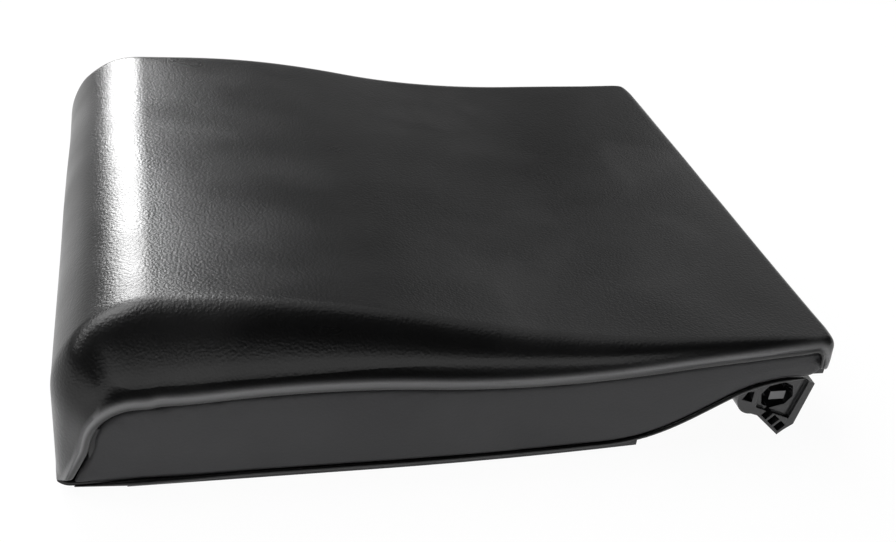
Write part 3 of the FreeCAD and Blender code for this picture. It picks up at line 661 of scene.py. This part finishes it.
def make_floor():
    """A plain white floor, seen as white by the camera and in reflections, that keeps a soft shadow."""
    work = bmesh.new()
    bmesh.ops.create_grid(work, x_segments=1, y_segments=1, size=FLOOR_REACH)
    mesh = bpy.data.meshes.new("floor")
    work.to_mesh(mesh)
    work.free()
    floor = bpy.data.objects.new("floor", mesh)
    bpy.context.scene.collection.objects.link(floor)
    floor.location.z = -FLOOR_DROP
    material = bpy.data.materials.new("floor")
    material.use_nodes = True
    tree = material.node_tree
    tree.nodes.clear()
    out = tree.nodes.new("ShaderNodeOutputMaterial")
    plain = tree.nodes.new("ShaderNodeBsdfDiffuse")
    plain.inputs["Color"].default_value = (0.9, 0.9, 0.9, 1)
    glow = tree.nodes.new("ShaderNodeEmission")
    glow.inputs["Color"].default_value = (1, 1, 1, 1)
    glow.inputs["Strength"].default_value = 1.0
    rays = tree.nodes.new("ShaderNodeLightPath")
    seen = tree.nodes.new("ShaderNodeMath")
    seen.operation = "MAXIMUM"
    tree.links.new(rays.outputs["Is Camera Ray"], seen.inputs[0])
    either = tree.nodes.new("ShaderNodeMath")
    either.operation = "MAXIMUM"
    tree.links.new(rays.outputs["Is Glossy Ray"], either.inputs[0])
    tree.links.new(rays.outputs["Is Transmission Ray"], either.inputs[1])
    tree.links.new(either.outputs[0], seen.inputs[1])
    share = tree.nodes.new("ShaderNodeMath")
    share.operation = "MULTIPLY"
    share.inputs[1].default_value = WHITE_SHARE
    tree.links.new(seen.outputs[0], share.inputs[0])
    mix = tree.nodes.new("ShaderNodeMixShader")
    tree.links.new(share.outputs[0], mix.inputs[0])
    tree.links.new(plain.outputs[0], mix.inputs[1])
    tree.links.new(glow.outputs[0], mix.inputs[2])
    tree.links.new(mix.outputs[0], out.inputs[0])
    mesh.materials.append(material)


make_floor()


def add_lamp(name, place, target, size, power):
    """A soft rectangular lamp that points at a target, in metres and watts."""
    data = bpy.data.lights.new(name, "AREA")
    data.shape = "RECTANGLE"
    data.size, data.size_y = size
    data.energy = power
    lamp = bpy.data.objects.new(name, data)
    bpy.context.scene.collection.objects.link(lamp)
    lamp.location = place
    lamp.rotation_euler = (Vector(target) - Vector(place)).to_track_quat("-Z", "Y").to_euler()


add_lamp("back_light", (-0.59, 1.74, 0.78), (-0.1, 0.0, 0.05), (0.6, 0.8), 24.0)
add_lamp("back_high_light", (-0.42, 1.2, 1.42), (-0.12, 0.0, 0.06), (0.5, 1.3), 24.0)
add_lamp("left_high_light", (-0.85, 0.1, 1.25), (-0.14, -0.1, 0.05), (1.0, 1.3), 24.0)
add_lamp("top_light", (0.6, 0.9, 2.3), (0.0, 0.0, 0.0), (2.2, 2.2), 8.0)
add_lamp("side_light", (-0.6, -2.2, 0.25), (0.0, -0.1, 0.03), (2.4, 0.4), 1.6)
add_lamp("rear_light", (1.25, 1.46, 0.9), (0.1, 0.0, 0.05), (0.7, 0.8), 0.8)

world = bpy.data.worlds.new("studio")
bpy.context.scene.world = world
world.use_nodes = True
sky_tree = world.node_tree
sky = sky_tree.nodes["Background"]
sky_place = sky_tree.nodes.new("ShaderNodeTexCoord")
sky_lean = sky_tree.nodes.new("ShaderNodeVectorMath")
sky_lean.operation = "DOT_PRODUCT"
sky_lean.inputs[1].default_value = (0.0, -0.35, 1.0)
sky_tree.links.new(sky_place.outputs["Generated"], sky_lean.inputs[0])
SKY_STOPS = [(0.0, 0.28), (0.12, 0.1), (0.4, 0.025), (1.0, 0.02)]
sky_tone = ramp_node(sky_tree, sky_lean.outputs["Value"], SKY_STOPS)
sky_tree.links.new(sky_tone.outputs[0], sky.inputs["Color"])
sky.inputs["Strength"].default_value = 1.0

bpy.context.scene.view_settings.view_transform = "Standard"


# The camera: sensor width in millimetres, and the photograph's width in pixels.
SENSOR = 36.0
PHOTO_WIDTH = 896


def add_camera():
    """The camera at the photograph's viewing angle, from angles in degrees and a place in millimetres."""
    focal_px = 1185.5
    yaw, pitch, roll = (math.radians(angle) for angle in (16.910, 31.776, -7.422))
    ahead = Vector((math.sin(yaw) * math.cos(pitch), math.cos(yaw) * math.cos(pitch), -math.sin(pitch)))
    level = Vector((math.cos(yaw), -math.sin(yaw), 0))
    down = ahead.cross(level)
    right = math.cos(roll) * level + math.sin(roll) * down
    below = -math.sin(roll) * level + math.cos(roll) * down
    data = bpy.data.cameras.new("camera")
    data.sensor_width = SENSOR
    data.lens = focal_px * SENSOR / PHOTO_WIDTH
    data.clip_start = 0.01
    camera = bpy.data.objects.new("camera", data)
    bpy.context.scene.collection.objects.link(camera)
    turn = Matrix((right, -below, -ahead)).transposed().to_4x4()
    camera.matrix_world = Matrix.Translation(Vector((-139.53, -545.25, 364.62)) * MM) @ turn
    bpy.context.scene.camera = camera


add_camera()
